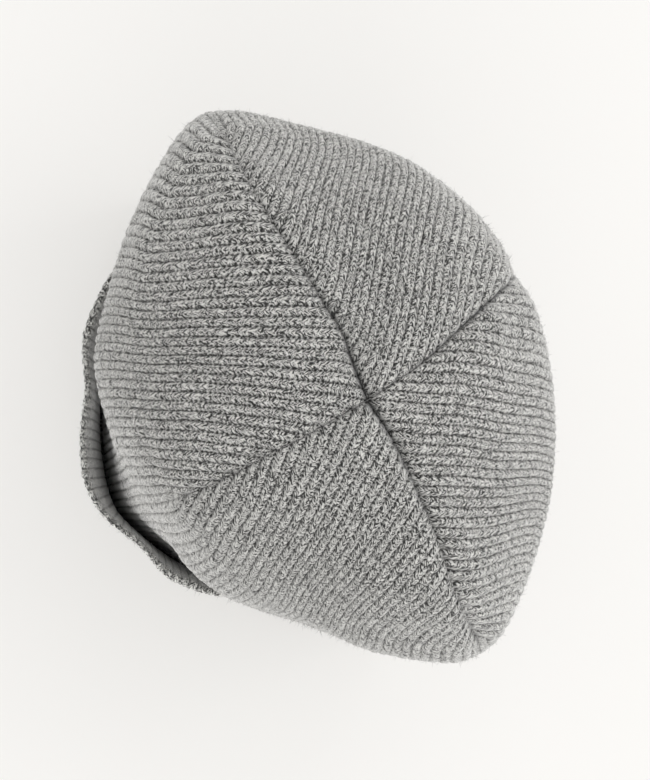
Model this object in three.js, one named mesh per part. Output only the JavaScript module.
// A cuffed rib-knit cap, standing on its turned-up cuff with the head opening down.
// One knitted tube is closed at the top by a long seam from front to back and by two short
// dart seams, left and right, which leave four gores. The ribs run up the wall, over the
// shoulder and into the seams. The bottom of the tube is turned up outside as the cuff.
// Millimetres, +Z up, -Y to the front. The origin is on the floor at the middle of the cap.

import * as THREE from 'three';

// Cloth
const RIBS_PER_GORE = 39;
const GORES = 4;
const RIB_DEPTH = 0.8;
const CLOTH = 2.7;
const GAP = 0.3;

// A gore's ribs end in the long seam up to this share of its width, and in a dart seam past it
const LONG_SHARE = 2 / 3;

// The crown is sewn down to this distance from its top, measured along the cloth
const DART_TIP = 74;

// The cap's cross-sections, from the top of the crown down to the turned edge. Each row is a
// four-cornered outline: its corners lie at halfLength along Y and halfWidth along X, and an
// exponent of 1 is a sharp corner between straight sides, 2 an oval one. The two ends of the
// long seam hang lower than the rest by endDrop.
const SECTIONS = [
  { down: 0, height: 158, halfLength: 0, halfWidth: 0, endRound: 1.0, sideRound: 1.0, endDrop: 0 },
  { down: 15, height: 157, halfLength: 26, halfWidth: 18.4, endRound: 1.02, sideRound: 1.02, endDrop: 0.5 },
  { down: 32, height: 153, halfLength: 53, halfWidth: 37.5, endRound: 1.06, sideRound: 1.08, endDrop: 1.9 },
  { down: 49, height: 145, halfLength: 76, halfWidth: 53.4, endRound: 1.12, sideRound: 1.22, endDrop: 3.7 },
  { down: 66, height: 132.5, halfLength: 88.6, halfWidth: 65.2, endRound: 1.24, sideRound: 1.4, endDrop: 6 },
  { down: 82, height: 118, halfLength: 98.2, halfWidth: 70.2, endRound: 1.4, sideRound: 1.47, endDrop: 7 },
  { down: 105, height: 96, halfLength: 99.7, halfWidth: 71.8, endRound: 1.4, sideRound: 1.5, endDrop: 5.9 },
  { down: 139, height: 62, halfLength: 90.5, halfWidth: 70, endRound: 1.26, sideRound: 1.48, endDrop: 2.4 },
  { down: 201, height: 0, halfLength: 87, halfWidth: 67, endRound: 1.28, sideRound: 1.46, endDrop: 0 },
];

// The cap doesn't stand quite even. The crown leans by shiftX and shiftY, the long seam bows
// sideways by front and back, and the dart seams bow by left and right.
const LEAN = [
  { down: 0, shiftX: -5.6, shiftY: -6.5, front: 0, back: 0, left: 0, right: 0 },
  { down: 8, shiftX: -5.5, shiftY: -6.4, front: 0.9, back: 2.2, left: 0, right: 0.6 },
  { down: 13, shiftX: -5.5, shiftY: -6.3, front: 0.7, back: 4.1, left: 0, right: 0.7 },
  { down: 20, shiftX: -5.3, shiftY: -6.2, front: -0.1, back: 4, left: -0.1, right: 1.3 },
  { down: 30, shiftX: -4.8, shiftY: -5.8, front: -1.3, back: 3.7, left: 0.1, right: 3 },
  { down: 44, shiftX: -4, shiftY: -5.1, front: -4, back: 3.5, left: -0.7, right: 4.4 },
  { down: 57, shiftX: -3.1, shiftY: -4.1, front: -4, back: 5.2, left: -1.1, right: 4.6 },
  { down: 76, shiftX: -1.2, shiftY: -3, front: -2, back: 7.8, left: -1.9, right: 3.9 },
  { down: 105, shiftX: 1.2, shiftY: -2.2, front: -2, back: 7.8, left: -1.5, right: 3.4 },
  { down: 139, shiftX: -1.2, shiftY: -3, front: -1.4, back: 4.7, left: -0.9, right: 1.8 },
  { down: 201, shiftX: -2, shiftY: -5, front: 0, back: 0, left: 0, right: 0 },
];

// The four gores in order round the cap, from the front corner over the left side. Each swells
// out by swell in the middle of its width, and by skew more towards its end corner. On the way
// down its ribs drift from the end corner by turn, and towards the gore's middle by fan.
const GORE_SHAPES = [
  { name: 'front left', x: -1, y: -1, fromEnd: true, swell: -0.2, skew: 0.4, turn: 0, fan: 0.03 },
  { name: 'back left', x: -1, y: 1, fromEnd: false, swell: 6.8, skew: 0.2, turn: 0.05, fan: 0.03 },
  { name: 'back right', x: 1, y: 1, fromEnd: true, swell: 1.4, skew: -2.6, turn: -0.045, fan: 0.02 },
  { name: 'front right', x: 1, y: -1, fromEnd: false, swell: 4.7, skew: -0.3, turn: -0.02, fan: 0.04 },
];
const SWELL_SHARE = [
  { down: 0, share: 0 },
  { down: 20, share: 0.15 },
  { down: 40, share: 0.48 },
  { down: 60, share: 0.82 },
  { down: 82, share: 1 },
  { down: 105, share: 1 },
  { down: 139, share: 0.5 },
  { down: 201, share: 0 },
];

// Seams: how deep the cloth dives into each one, how wide the dip is, and the sewn-in allowance
const SEAM_DIP = { long: 3.4, dart: 2.2 };
const SEAM_DIP_WIDTH = 5;
const SEAM_FADE = 16;
const ALLOWANCE = { long: { width: 4, height: 5 }, dart: { width: 3.4, height: 4.4 } };
const DART_START = 0.45;
const TIP_TAPER = 0.25;

// Soft dents and swells of the stuffed cloth: gore, share of its width, distance down, reach, depth
const DENTS = [
  { gore: 0, share: 0.5, down: 62, reach: 20, depth: 1.4 },
  { gore: 1, share: 0.55, down: 58, reach: 22, depth: 1.1 },
  { gore: 1, share: 0.18, down: 104, reach: 24, depth: 0.8 },
  { gore: 2, share: 0.5, down: 66, reach: 24, depth: -1.6 },
  { gore: 3, share: 0.6, down: 60, reach: 22, depth: 1.2 },
  { gore: 3, share: 0.3, down: 112, reach: 26, depth: 2.2 },
];

// Cuff: its fold rests flat on the floor, and its top edge stands away from the wall
const CUFF = { height: 66, floorWidth: 4, wallGap: 1, foldTop: 8 };

// The cuff's top edge waves in and out. Each row is a place on it, as a share of the way round
// from the front corner over the left side: how far it leans out, and how much higher it is.
const CUFF_EDGE = [
  { around: 0, reach: 1.4, lift: -1 },
  { around: 0.06, reach: 0.6, lift: 0 },
  { around: 0.11, reach: -0.1, lift: 0 },
  { around: 0.145, reach: -0.2, lift: 0 },
  { around: 0.17, reach: 4.2, lift: 0 },
  { around: 0.2, reach: 6.6, lift: 0 },
  { around: 0.232, reach: 4.9, lift: 0 },
  { around: 0.268, reach: 9.4, lift: 0 },
  { around: 0.298, reach: 8.6, lift: 0 },
  { around: 0.333, reach: 5.8, lift: 0 },
  { around: 0.365, reach: 7.7, lift: 0 },
  { around: 0.396, reach: 4.8, lift: 0 },
  { around: 0.43, reach: 0.5, lift: 0 },
  { around: 0.5, reach: 0.4, lift: -1 },
  { around: 0.58, reach: 1.4, lift: 0 },
  { around: 0.66, reach: 3, lift: 0.6 },
  { around: 0.75, reach: 1, lift: 0 },
  { around: 0.84, reach: 2.8, lift: -0.6 },
  { around: 0.92, reach: 1, lift: 0 },
];
const CUFF_LEAN_POWER = 2.4;

// The middle of the whole cap over the floor, in the coordinates of the tables
const CENTRE = { x: -4.447, y: -2.223 };

// Mesh fineness
const RIB_COLUMNS = 2 * RIBS_PER_GORE;
const PLAIN_COLUMNS = 18;
const CROWN_ROWS = [0, 0.1, 0.22, 0.36, 0.52, 0.68, 0.84, 1];
const RIBBED_END = 144;
const WALL_END = 201 - CUFF.foldTop;
const SMALL = 0.05;

// A smooth curve through one named column of a table that is ordered by down
function smooth(rows, column, down) {
  const last = rows.length - 1;
  const at = Math.min(Math.max(down, 0), rows[last].down);
  let i = 0;
  while (i < last - 1 && rows[i + 1].down <= at) i++;
  const slope = (k) => {
    const a = rows[Math.max(k - 1, 0)];
    const b = rows[Math.min(k + 1, last)];
    return k === 0 && column === 'height' ? 0 : (b[column] - a[column]) / (b.down - a.down);
  };
  const step = rows[i + 1].down - rows[i].down;
  const t = (at - rows[i].down) / step;
  const t2 = t * t;
  const t3 = t2 * t;
  return (
    (2 * t3 - 3 * t2 + 1) * rows[i][column] +
    (t3 - 2 * t2 + t) * step * slope(i) +
    (3 * t2 - 2 * t3) * rows[i + 1][column] +
    (t3 - t2) * step * slope(i + 1)
  );
}

// One quarter of a section's outline, from its end corner to its side corner, as a table
// of points that is read by share of its length
const ARC_STEPS = 120;
const quarters = new Map();
function quarter(down) {
  const key = down.toFixed(3);
  if (!quarters.has(key)) {
    const length = smooth(SECTIONS, 'halfLength', down);
    const width = smooth(SECTIONS, 'halfWidth', down);
    const endPower = 2 / smooth(SECTIONS, 'endRound', down);
    const sidePower = 2 / smooth(SECTIONS, 'sideRound', down);
    const points = [];
    let run = 0;
    for (let i = 0; i <= ARC_STEPS; i++) {
      const angle = (Math.PI / 2) * (i / ARC_STEPS);
      const x = width * Math.max(Math.sin(angle), 0) ** endPower;
      const y = length * Math.max(Math.cos(angle), 0) ** sidePower;
      if (i) run += Math.hypot(x - points[i - 1].x, y - points[i - 1].y);
      points.push({ x, y, run });
    }
    quarters.set(key, points);
  }
  return quarters.get(key);
}

function quarterPoint(down, share) {
  const points = quarter(down);
  const run = points[ARC_STEPS].run * Math.min(Math.max(share, 0), 1);
  let low = 0;
  let high = ARC_STEPS;
  while (high - low > 1) {
    const middle = (low + high) >> 1;
    if (points[middle].run <= run) low = middle;
    else high = middle;
  }
  const span = points[high].run - points[low].run || 1;
  const t = (run - points[low].run) / span;
  return {
    x: points[low].x + (points[high].x - points[low].x) * t,
    y: points[low].y + (points[high].y - points[low].y) * t,
  };
}

const sideLength = (down) => quarter(down)[ARC_STEPS].run;

// Share of the ribs that have come out of the seams at a distance from the top, and its inverse
const fullSide = sideLength(DART_TIP);
const ribsOut = (down) => (down >= DART_TIP ? 1 : sideLength(down) / fullSide);
function seamDown(share) {
  let low = 0;
  let high = DART_TIP;
  for (let i = 0; i < 24; i++) {
    const middle = (low + high) / 2;
    if (ribsOut(middle) < share) low = middle;
    else high = middle;
  }
  return (low + high) / 2;
}

// A rib's place in its gore, 0 at the end corner and 1 at the side corner, gives the distance
// from the top at which it leaves its seam, and its place on any section below that
const ribStart = (rib) =>
  seamDown(rib < LONG_SHARE ? 1 - rib / LONG_SHARE : (rib - LONG_SHARE) / (1 - LONG_SHARE));
const placeOnSide = (rib, down) => {
  const out = ribsOut(down);
  return out > 0 ? Math.min(Math.max((rib - LONG_SHARE * (1 - out)) / out, 0), 1) : LONG_SHARE;
};
const drifted = (gore, place, down) => {
  const { turn, fan } = GORE_SHAPES[gore];
  const drift = turn * Math.sin(Math.PI * place) + fan * Math.sin(2 * Math.PI * place);
  return Math.min(Math.max(place + smooth(SWELL_SHARE, 'share', down) * drift, 0), 1);
};

const bell = (x) => Math.exp(-x * x);

// How far the cloth sinks at a place: into the seams and into the soft dents
function sink(gore, place, down) {
  const side = sideLength(down);
  const below = Math.max(down - DART_TIP, 0) / SEAM_FADE;
  const fade = bell(below) * Math.min(1, 0.5 + down / 20);
  const toLong = (place * side) / SEAM_DIP_WIDTH;
  const toDart = ((1 - place) * side) / SEAM_DIP_WIDTH;
  let depth = fade * Math.max(SEAM_DIP.long * bell(toLong), SEAM_DIP.dart * bell(toDart));
  for (const dent of DENTS) {
    if (dent.gore !== gore) continue;
    const across = ((place - dent.share) * side) / dent.reach;
    const along = (down - dent.down) / dent.reach;
    const edge = Math.min(1, 6 * place, 6 * (1 - place));
    depth += dent.depth * edge * bell(across) * bell(along);
  }
  return depth;
}

// A point of the cloth's smooth form, before it sinks into seams and dents
function flatPoint(gore, place, down) {
  const { x, y, swell, skew } = GORE_SHAPES[gore];
  const share = Math.min(Math.max(place, 0), 1);
  const p = quarterPoint(down, share);
  // Outwards from the section's outline
  const before = quarterPoint(down, Math.max(share - 0.08, 0));
  const after = quarterPoint(down, Math.min(share + 0.08, 1));
  const run = { x: after.x - before.x, y: after.y - before.y };
  const long = Math.hypot(run.x, run.y) || 1;
  const out =
    smooth(SWELL_SHARE, 'share', down) *
    (swell * Math.sin(Math.PI * share) + skew * Math.sin(2 * Math.PI * share));
  // Each corner's bow fades out towards the next corner
  const toSide = share * share * (3 - 2 * share);
  const endBow = smooth(LEAN, y < 0 ? 'front' : 'back', down);
  const sideBow = smooth(LEAN, x < 0 ? 'left' : 'right', down);
  return new THREE.Vector3(
    x * (p.x - (out * run.y) / long) + endBow * (1 - toSide) + smooth(LEAN, 'shiftX', down),
    y * (p.y + (out * run.x) / long) + sideBow * toSide + smooth(LEAN, 'shiftY', down),
    smooth(SECTIONS, 'height', down) - smooth(SECTIONS, 'endDrop', down) * (1 - toSide),
  );
}

// The cloth's outward direction inside one gore
const NORMAL_STEP = 0.01;
function goreNormal(gore, place, down) {
  const near = Math.max(down, 2);
  const a = flatPoint(gore, Math.max(place - NORMAL_STEP, 0), near);
  const b = flatPoint(gore, Math.min(place + NORMAL_STEP, 1), near);
  const c = flatPoint(gore, place, near - 1);
  const d = flatPoint(gore, place, near + 1);
  const normal = b.sub(a).cross(d.sub(c)).normalize();
  const { x, y } = GORE_SHAPES[gore];
  return normal.multiplyScalar(x * y);
}

// The outward direction, which two gores share on the corner between them
const beyond = (gore, place) => (place < 0.5 ? 3 - gore : gore ^ 1);
function outward(gore, place, down) {
  const normal = goreNormal(gore, place, down);
  if (place < 1e-6 || place > 1 - 1e-6) normal.add(goreNormal(beyond(gore, place), place, down));
  return normal.normalize();
}

// A point of the cloth: offset 0 is the crest of the ribs, and -CLOTH the back
function clothPoint(gore, rib, down, offset) {
  const place = drifted(gore, placeOnSide(rib, down), down);
  const depth = offset - sink(gore, place, down);
  return flatPoint(gore, place, down).addScaledVector(outward(gore, place, down), depth);
}

// A mesh under construction: points with shared vertices, and faces that point outwards
class Solid {
  constructor() {
    this.points = [];
    this.faces = [];
  }
  add(p) {
    this.points.push(p);
    return this.points.length - 1;
  }
  triangle(a, b, c) {
    if (a !== b && b !== c && c !== a) this.faces.push(a, b, c);
  }
  apart(a, b) {
    return this.points[a].distanceTo(this.points[b]);
  }
  // Two closed rings of any counts, joined by a band; places run from 0 to 1 round each.
  // Where both rings step together, the shorter diagonal is taken.
  band(lower, upper) {
    const n = lower.ids.length;
    const m = upper.ids.length;
    let i = 0;
    let j = 0;
    while (i < n || j < m) {
      const nextLower = i < n ? lower.places[(i + 1) % n] + (i + 1 >= n ? 1 : 0) : 9;
      const nextUpper = j < m ? upper.places[(j + 1) % m] + (j + 1 >= m ? 1 : 0) : 9;
      const a = lower.ids[i % n];
      const b = upper.ids[j % m];
      const nextA = lower.ids[(i + 1) % n];
      const nextB = upper.ids[(j + 1) % m];
      const together = Math.abs(nextLower - nextUpper) < 1e-9;
      const lowerFirst = together ? this.apart(nextA, b) <= this.apart(a, nextB) : nextLower < nextUpper;
      if (lowerFirst) {
        this.triangle(a, b, nextA);
        i++;
      } else {
        this.triangle(a, b, nextB);
        j++;
      }
    }
  }
  mesh(name, material) {
    const geometry = new THREE.BufferGeometry();
    const array = this.points.flatMap((p) => [p.x, p.y, p.z]);
    geometry.setAttribute('position', new THREE.Float32BufferAttribute(array, 3));
    geometry.setIndex(this.faces);
    geometry.computeVertexNormals();
    const made = new THREE.Mesh(geometry, material);
    made.name = name;
    return made;
  }
}

// Columns round the whole cap: each has its gore, its rib place and its share of the way round
function columnsRound(perGore) {
  const columns = [];
  for (let gore = 0; gore < GORES; gore++) {
    for (let i = 0; i < perGore; i++) {
      const t = i / perGore;
      const rib = GORE_SHAPES[gore].fromEnd ? t : 1 - t;
      columns.push({ gore, rib, around: (gore + t) / GORES, crest: i % 2 === 1 });
    }
  }
  return columns;
}

// A ring of cloth points at one distance from the top, or along the seams for row 0
const ringAt = (solid, columns, pointOf) => ({
  ids: columns.map((c) => solid.add(pointOf(c))),
  places: columns.map((c) => c.around),
});

// The first ring of a sheet of cloth lies on the seams, where the two gores share their points
function seamRing(solid, columns, offsetOf) {
  const found = new Map();
  const ids = columns.map((c) => {
    const start = ribStart(c.rib);
    const corner = c.rib < LONG_SHARE ? 0 : 1;
    const atTop = Math.abs(c.rib - LONG_SHARE) < 1e-6;
    // The seam that this rib ends in: front, left, back or right corner line
    const end = GORE_SHAPES[c.gore].y < 0 ? 'front' : 'back';
    const side = GORE_SHAPES[c.gore].x < 0 ? 'left' : 'right';
    const key = atTop ? 'top' : `${corner ? side : end}:${start.toFixed(4)}`;
    if (!found.has(key)) {
      const place = atTop ? LONG_SHARE : corner;
      const depth = offsetOf(c) - sink(c.gore, place, start);
      const direction = atTop ? new THREE.Vector3(0, 0, 1) : outward(c.gore, corner, start);
      found.set(key, solid.add(flatPoint(c.gore, place, start).addScaledVector(direction, depth)));
    }
    return found.get(key);
  });
  return { ids, places: columns.map((c) => c.around) };
}

// The wall ends level, where the fold of the cuff takes over
function wallPoint(c, down, offset) {
  const p = clothPoint(c.gore, c.rib, down, offset);
  if (down >= WALL_END - SMALL) p.z = CUFF.foldTop;
  return p;
}

// Body: the ribbed outside, the plain wall behind the cuff, and the plain inside
function makeBody(material) {
  const solid = new Solid();
  const ribbed = columnsRound(RIB_COLUMNS);
  const plain = columnsRound(PLAIN_COLUMNS);
  const relief = (c) => (c.crest ? 0 : -RIB_DEPTH);

  let above = seamRing(solid, ribbed, () => -RIB_DEPTH);
  for (const t of CROWN_ROWS.slice(1)) {
    const ring = ringAt(solid, ribbed, (c) => {
      const start = ribStart(c.rib);
      return clothPoint(c.gore, c.rib, start + (RIBBED_END - start) * t, relief(c));
    });
    solid.band(ring, above);
    above = ring;
  }
  for (const down of [RIBBED_END + 6, 170, WALL_END]) {
    const ring = ringAt(solid, plain, (c) => wallPoint(c, down, -RIB_DEPTH));
    solid.band(ring, above);
    above = ring;
  }

  const insideRows = [0, 0.08, 0.18, 0.29, 0.4, 0.51, 0.62, 0.74, 0.87, 1];
  let below = null;
  for (const t of insideRows.slice().reverse()) {
    const ring =
      t === 0
        ? seamRing(solid, plain, () => -CLOTH)
        : ringAt(solid, plain, (c) => {
            const start = ribStart(c.rib);
            return wallPoint(c, start + (WALL_END - start) * t, -CLOTH);
          });
    if (below === null) solid.band(ring, above);
    else solid.band(ring, below);
    below = ring;
  }
  return solid.mesh('knit_body', material);
}

// Cuff: the cloth turns under the wall and stands up outside it
function edgeAt(column, around) {
  const rows = CUFF_EDGE;
  const n = rows.length;
  const row = (k) => {
    const turns = Math.floor(k / n);
    const found = rows[k - turns * n];
    return { x: found.around + turns, y: found[column] };
  };
  let i = n - 1;
  while (i > 0 && rows[i].around > around) i--;
  const [a, b, c, d] = [row(i - 1), row(i), row(i + 1), row(i + 2)];
  const step = c.x - b.x;
  const t = (around - b.x) / step;
  const left = ((c.y - a.y) / (c.x - a.x)) * step;
  const right = ((d.y - b.y) / (d.x - b.x)) * step;
  const t2 = t * t;
  const t3 = t2 * t;
  return (
    (2 * t3 - 3 * t2 + 1) * b.y + (t3 - 2 * t2 + t) * left + (3 * t2 - 2 * t3) * c.y + (t3 - t2) * right
  );
}

// A point of the cuff, at a height above the floor and an offset out from the wall's crests
function cuffPoint(c, height, offset) {
  const total = SECTIONS[SECTIONS.length - 1].down;
  const down = total - Math.min(height, CUFF.height);
  const up = Math.min(height / CUFF.height, 1);
  const reach = edgeAt('reach', c.around) * up ** CUFF_LEAN_POWER;
  const lift = edgeAt('lift', c.around) * up;
  const p = flatPoint(c.gore, placeOnSide(c.rib, down), down);
  const direction = outward(c.gore, placeOnSide(c.rib, total), total);
  direction.z = 0;
  direction.normalize();
  p.addScaledVector(direction, offset + reach);
  p.z = height <= SMALL ? 0 : height + lift;
  return p;
}

function makeCuff(material) {
  const solid = new Solid();
  const ribbed = columnsRound(RIB_COLUMNS);
  const plain = columnsRound(PLAIN_COLUMNS);
  const back = CUFF.wallGap;
  const front = back + CLOTH;
  const middle = (front - CLOTH) / 2;
  const inner = -CLOTH;
  const foot = CUFF.floorWidth / 2;

  // The profile, from the stub under the wall, round the fold's inside and up to the top edge
  const profile = [
    { height: CUFF.foldTop - GAP, offset: -RIB_DEPTH },
    { height: CUFF.foldTop - 2.5, offset: -RIB_DEPTH + 0.3 },
    { height: 3.4, offset: back * 0.3 },
    { height: 3.4, offset: back * 0.7 },
    { height: CUFF.foldTop - 2, offset: back },
    { height: 28, offset: back },
    { height: 50, offset: back },
    { height: CUFF.height - 0.9, offset: back },
    { height: CUFF.height, offset: back + 0.8 },
    { height: CUFF.height, offset: front - 0.9 },
    { height: CUFF.height - 1, offset: front - 0.1, ribbed: true },
    { height: 50, offset: front, ribbed: true },
    { height: 28, offset: front, ribbed: true },
    { height: 5, offset: front, ribbed: true },
    { height: 1.4, offset: front - 1 },
    { height: 0, offset: middle + foot },
    { height: 0, offset: middle - foot },
    { height: 1.4, offset: inner + 0.9 },
    { height: 4, offset: inner },
    { height: CUFF.foldTop - GAP, offset: inner },
  ];
  const rings = profile.map((step) =>
    ringAt(solid, step.ribbed ? ribbed : plain, (c) =>
      cuffPoint(c, step.height, step.offset - (step.ribbed && !c.crest ? RIB_DEPTH : 0)),
    ),
  );
  rings.forEach((ring, i) => solid.band(rings[(i + 1) % rings.length], ring));
  return solid.mesh('cuff', material);
}

// Seam allowances: the two edges sewn together stand as a low ridge inside the crown
function makeSeam(name, stations, size, material) {
  const solid = new Solid();
  const { width, height } = size;
  const outline = [
    { across: -width / 2, drop: 0.3 },
    { across: 0, drop: 0 },
    { across: width / 2, drop: 0.3 },
    { across: width / 2, drop: height - 0.8 },
    { across: width / 4, drop: height },
    { across: -width / 4, drop: height },
    { across: -width / 2, drop: height - 0.8 },
  ];
  const rings = stations.map(({ point, inward, slope, taper }, i) => {
    const next = stations[Math.min(i + 1, stations.length - 1)].point;
    const along = next.clone().sub(stations[Math.max(i - 1, 0)].point);
    const across = inward.clone().cross(along).normalize();
    return outline.map((o) => {
      const aside = o.across * taper;
      const drop = o.drop + (1.35 * slope + 0.2) * Math.abs(aside);
      return solid.add(point.clone().addScaledVector(across, aside).addScaledVector(inward, drop));
    });
  });
  const n = outline.length;
  for (let i = 0; i + 1 < rings.length; i++) {
    for (let j = 0; j < n; j++) {
      const k = (j + 1) % n;
      solid.triangle(rings[i][j], rings[i][k], rings[i + 1][k]);
      solid.triangle(rings[i][j], rings[i + 1][k], rings[i + 1][j]);
    }
  }
  for (let j = 1; j + 1 < n; j++) {
    solid.triangle(rings[0][0], rings[0][j + 1], rings[0][j]);
    const last = rings[rings.length - 1];
    solid.triangle(last[0], last[j], last[j + 1]);
  }
  return solid.mesh(name, material);
}

// Stations along one corner line of the crown, at the columns of the plain inside, tip first.
// Each knows how far the cloth falls away from the seam line for every step across it.
const TOP = new THREE.Vector3(0, 0, 1);
function seamStations(gore, corner) {
  const stations = [];
  for (let i = 0; i < PLAIN_COLUMNS; i++) {
    const rib = corner === 0 ? i / PLAIN_COLUMNS : 1 - i / PLAIN_COLUMNS;
    if (corner === 0 ? rib >= LONG_SHARE - 0.01 : rib <= LONG_SHARE + 0.01) break;
    const down = ribStart(rib);
    const direction = outward(gore, corner, down);
    const seam = flatPoint(gore, corner, down);
    seam.addScaledVector(direction, -CLOTH - sink(gore, corner, down));
    const step = fullSide / PLAIN_COLUMNS / sideLength(down);
    const place = corner === 0 ? step : 1 - step;
    const slopes = [gore, beyond(gore, corner)].map((side) => {
      const beside = flatPoint(side, place, down);
      beside.addScaledVector(outward(side, place, down), -CLOTH - sink(side, place, down));
      beside.sub(seam);
      const fall = -beside.dot(direction);
      return fall / Math.sqrt(Math.max(beside.lengthSq() - fall * fall, 1));
    });
    const point = seam.addScaledVector(direction, -GAP);
    const taper = i === 0 ? TIP_TAPER : 1;
    stations.push({ point, inward: direction.negate(), slope: Math.max(...slopes, 0), taper });
  }
  return stations;
}

const knit = (color) => new THREE.MeshStandardMaterial({ color, roughness: 0.95, metalness: 0 });
const GREY_MELANGE = '#94938f';
const SEAM_GREY = '#7c7b78';

const cap = new THREE.Group();
cap.add(makeBody(knit(GREY_MELANGE)));
cap.add(makeCuff(knit(GREY_MELANGE)));

const middle = flatPoint(0, LONG_SHARE, 0);
middle.z -= CLOTH + sink(0, LONG_SHARE, 0) + GAP;
const top = { point: middle, inward: TOP.clone().negate(), slope: 0, taper: 1 };

const longLine = [...seamStations(0, 0), top, ...seamStations(2, 0).reverse()];
cap.add(makeSeam('long_seam', longLine, ALLOWANCE.long, knit(SEAM_GREY)));

// A dart seam starts beside the long one
for (const [name, gore] of [['left_dart_seam', 0], ['right_dart_seam', 2]]) {
  const line = seamStations(gore, 1);
  const nearest = line[line.length - 1];
  const point = top.point.clone().lerp(nearest.point, DART_START);
  const inward = top.inward.clone().lerp(nearest.inward, DART_START).normalize();
  line.push({ point, inward, slope: nearest.slope, taper: 1 });
  cap.add(makeSeam(name, line, ALLOWANCE.dart, knit(SEAM_GREY)));
}

// The origin goes under the middle of the whole cap
cap.position.set(-CENTRE.x, -CENTRE.y, 0);

export default cap;
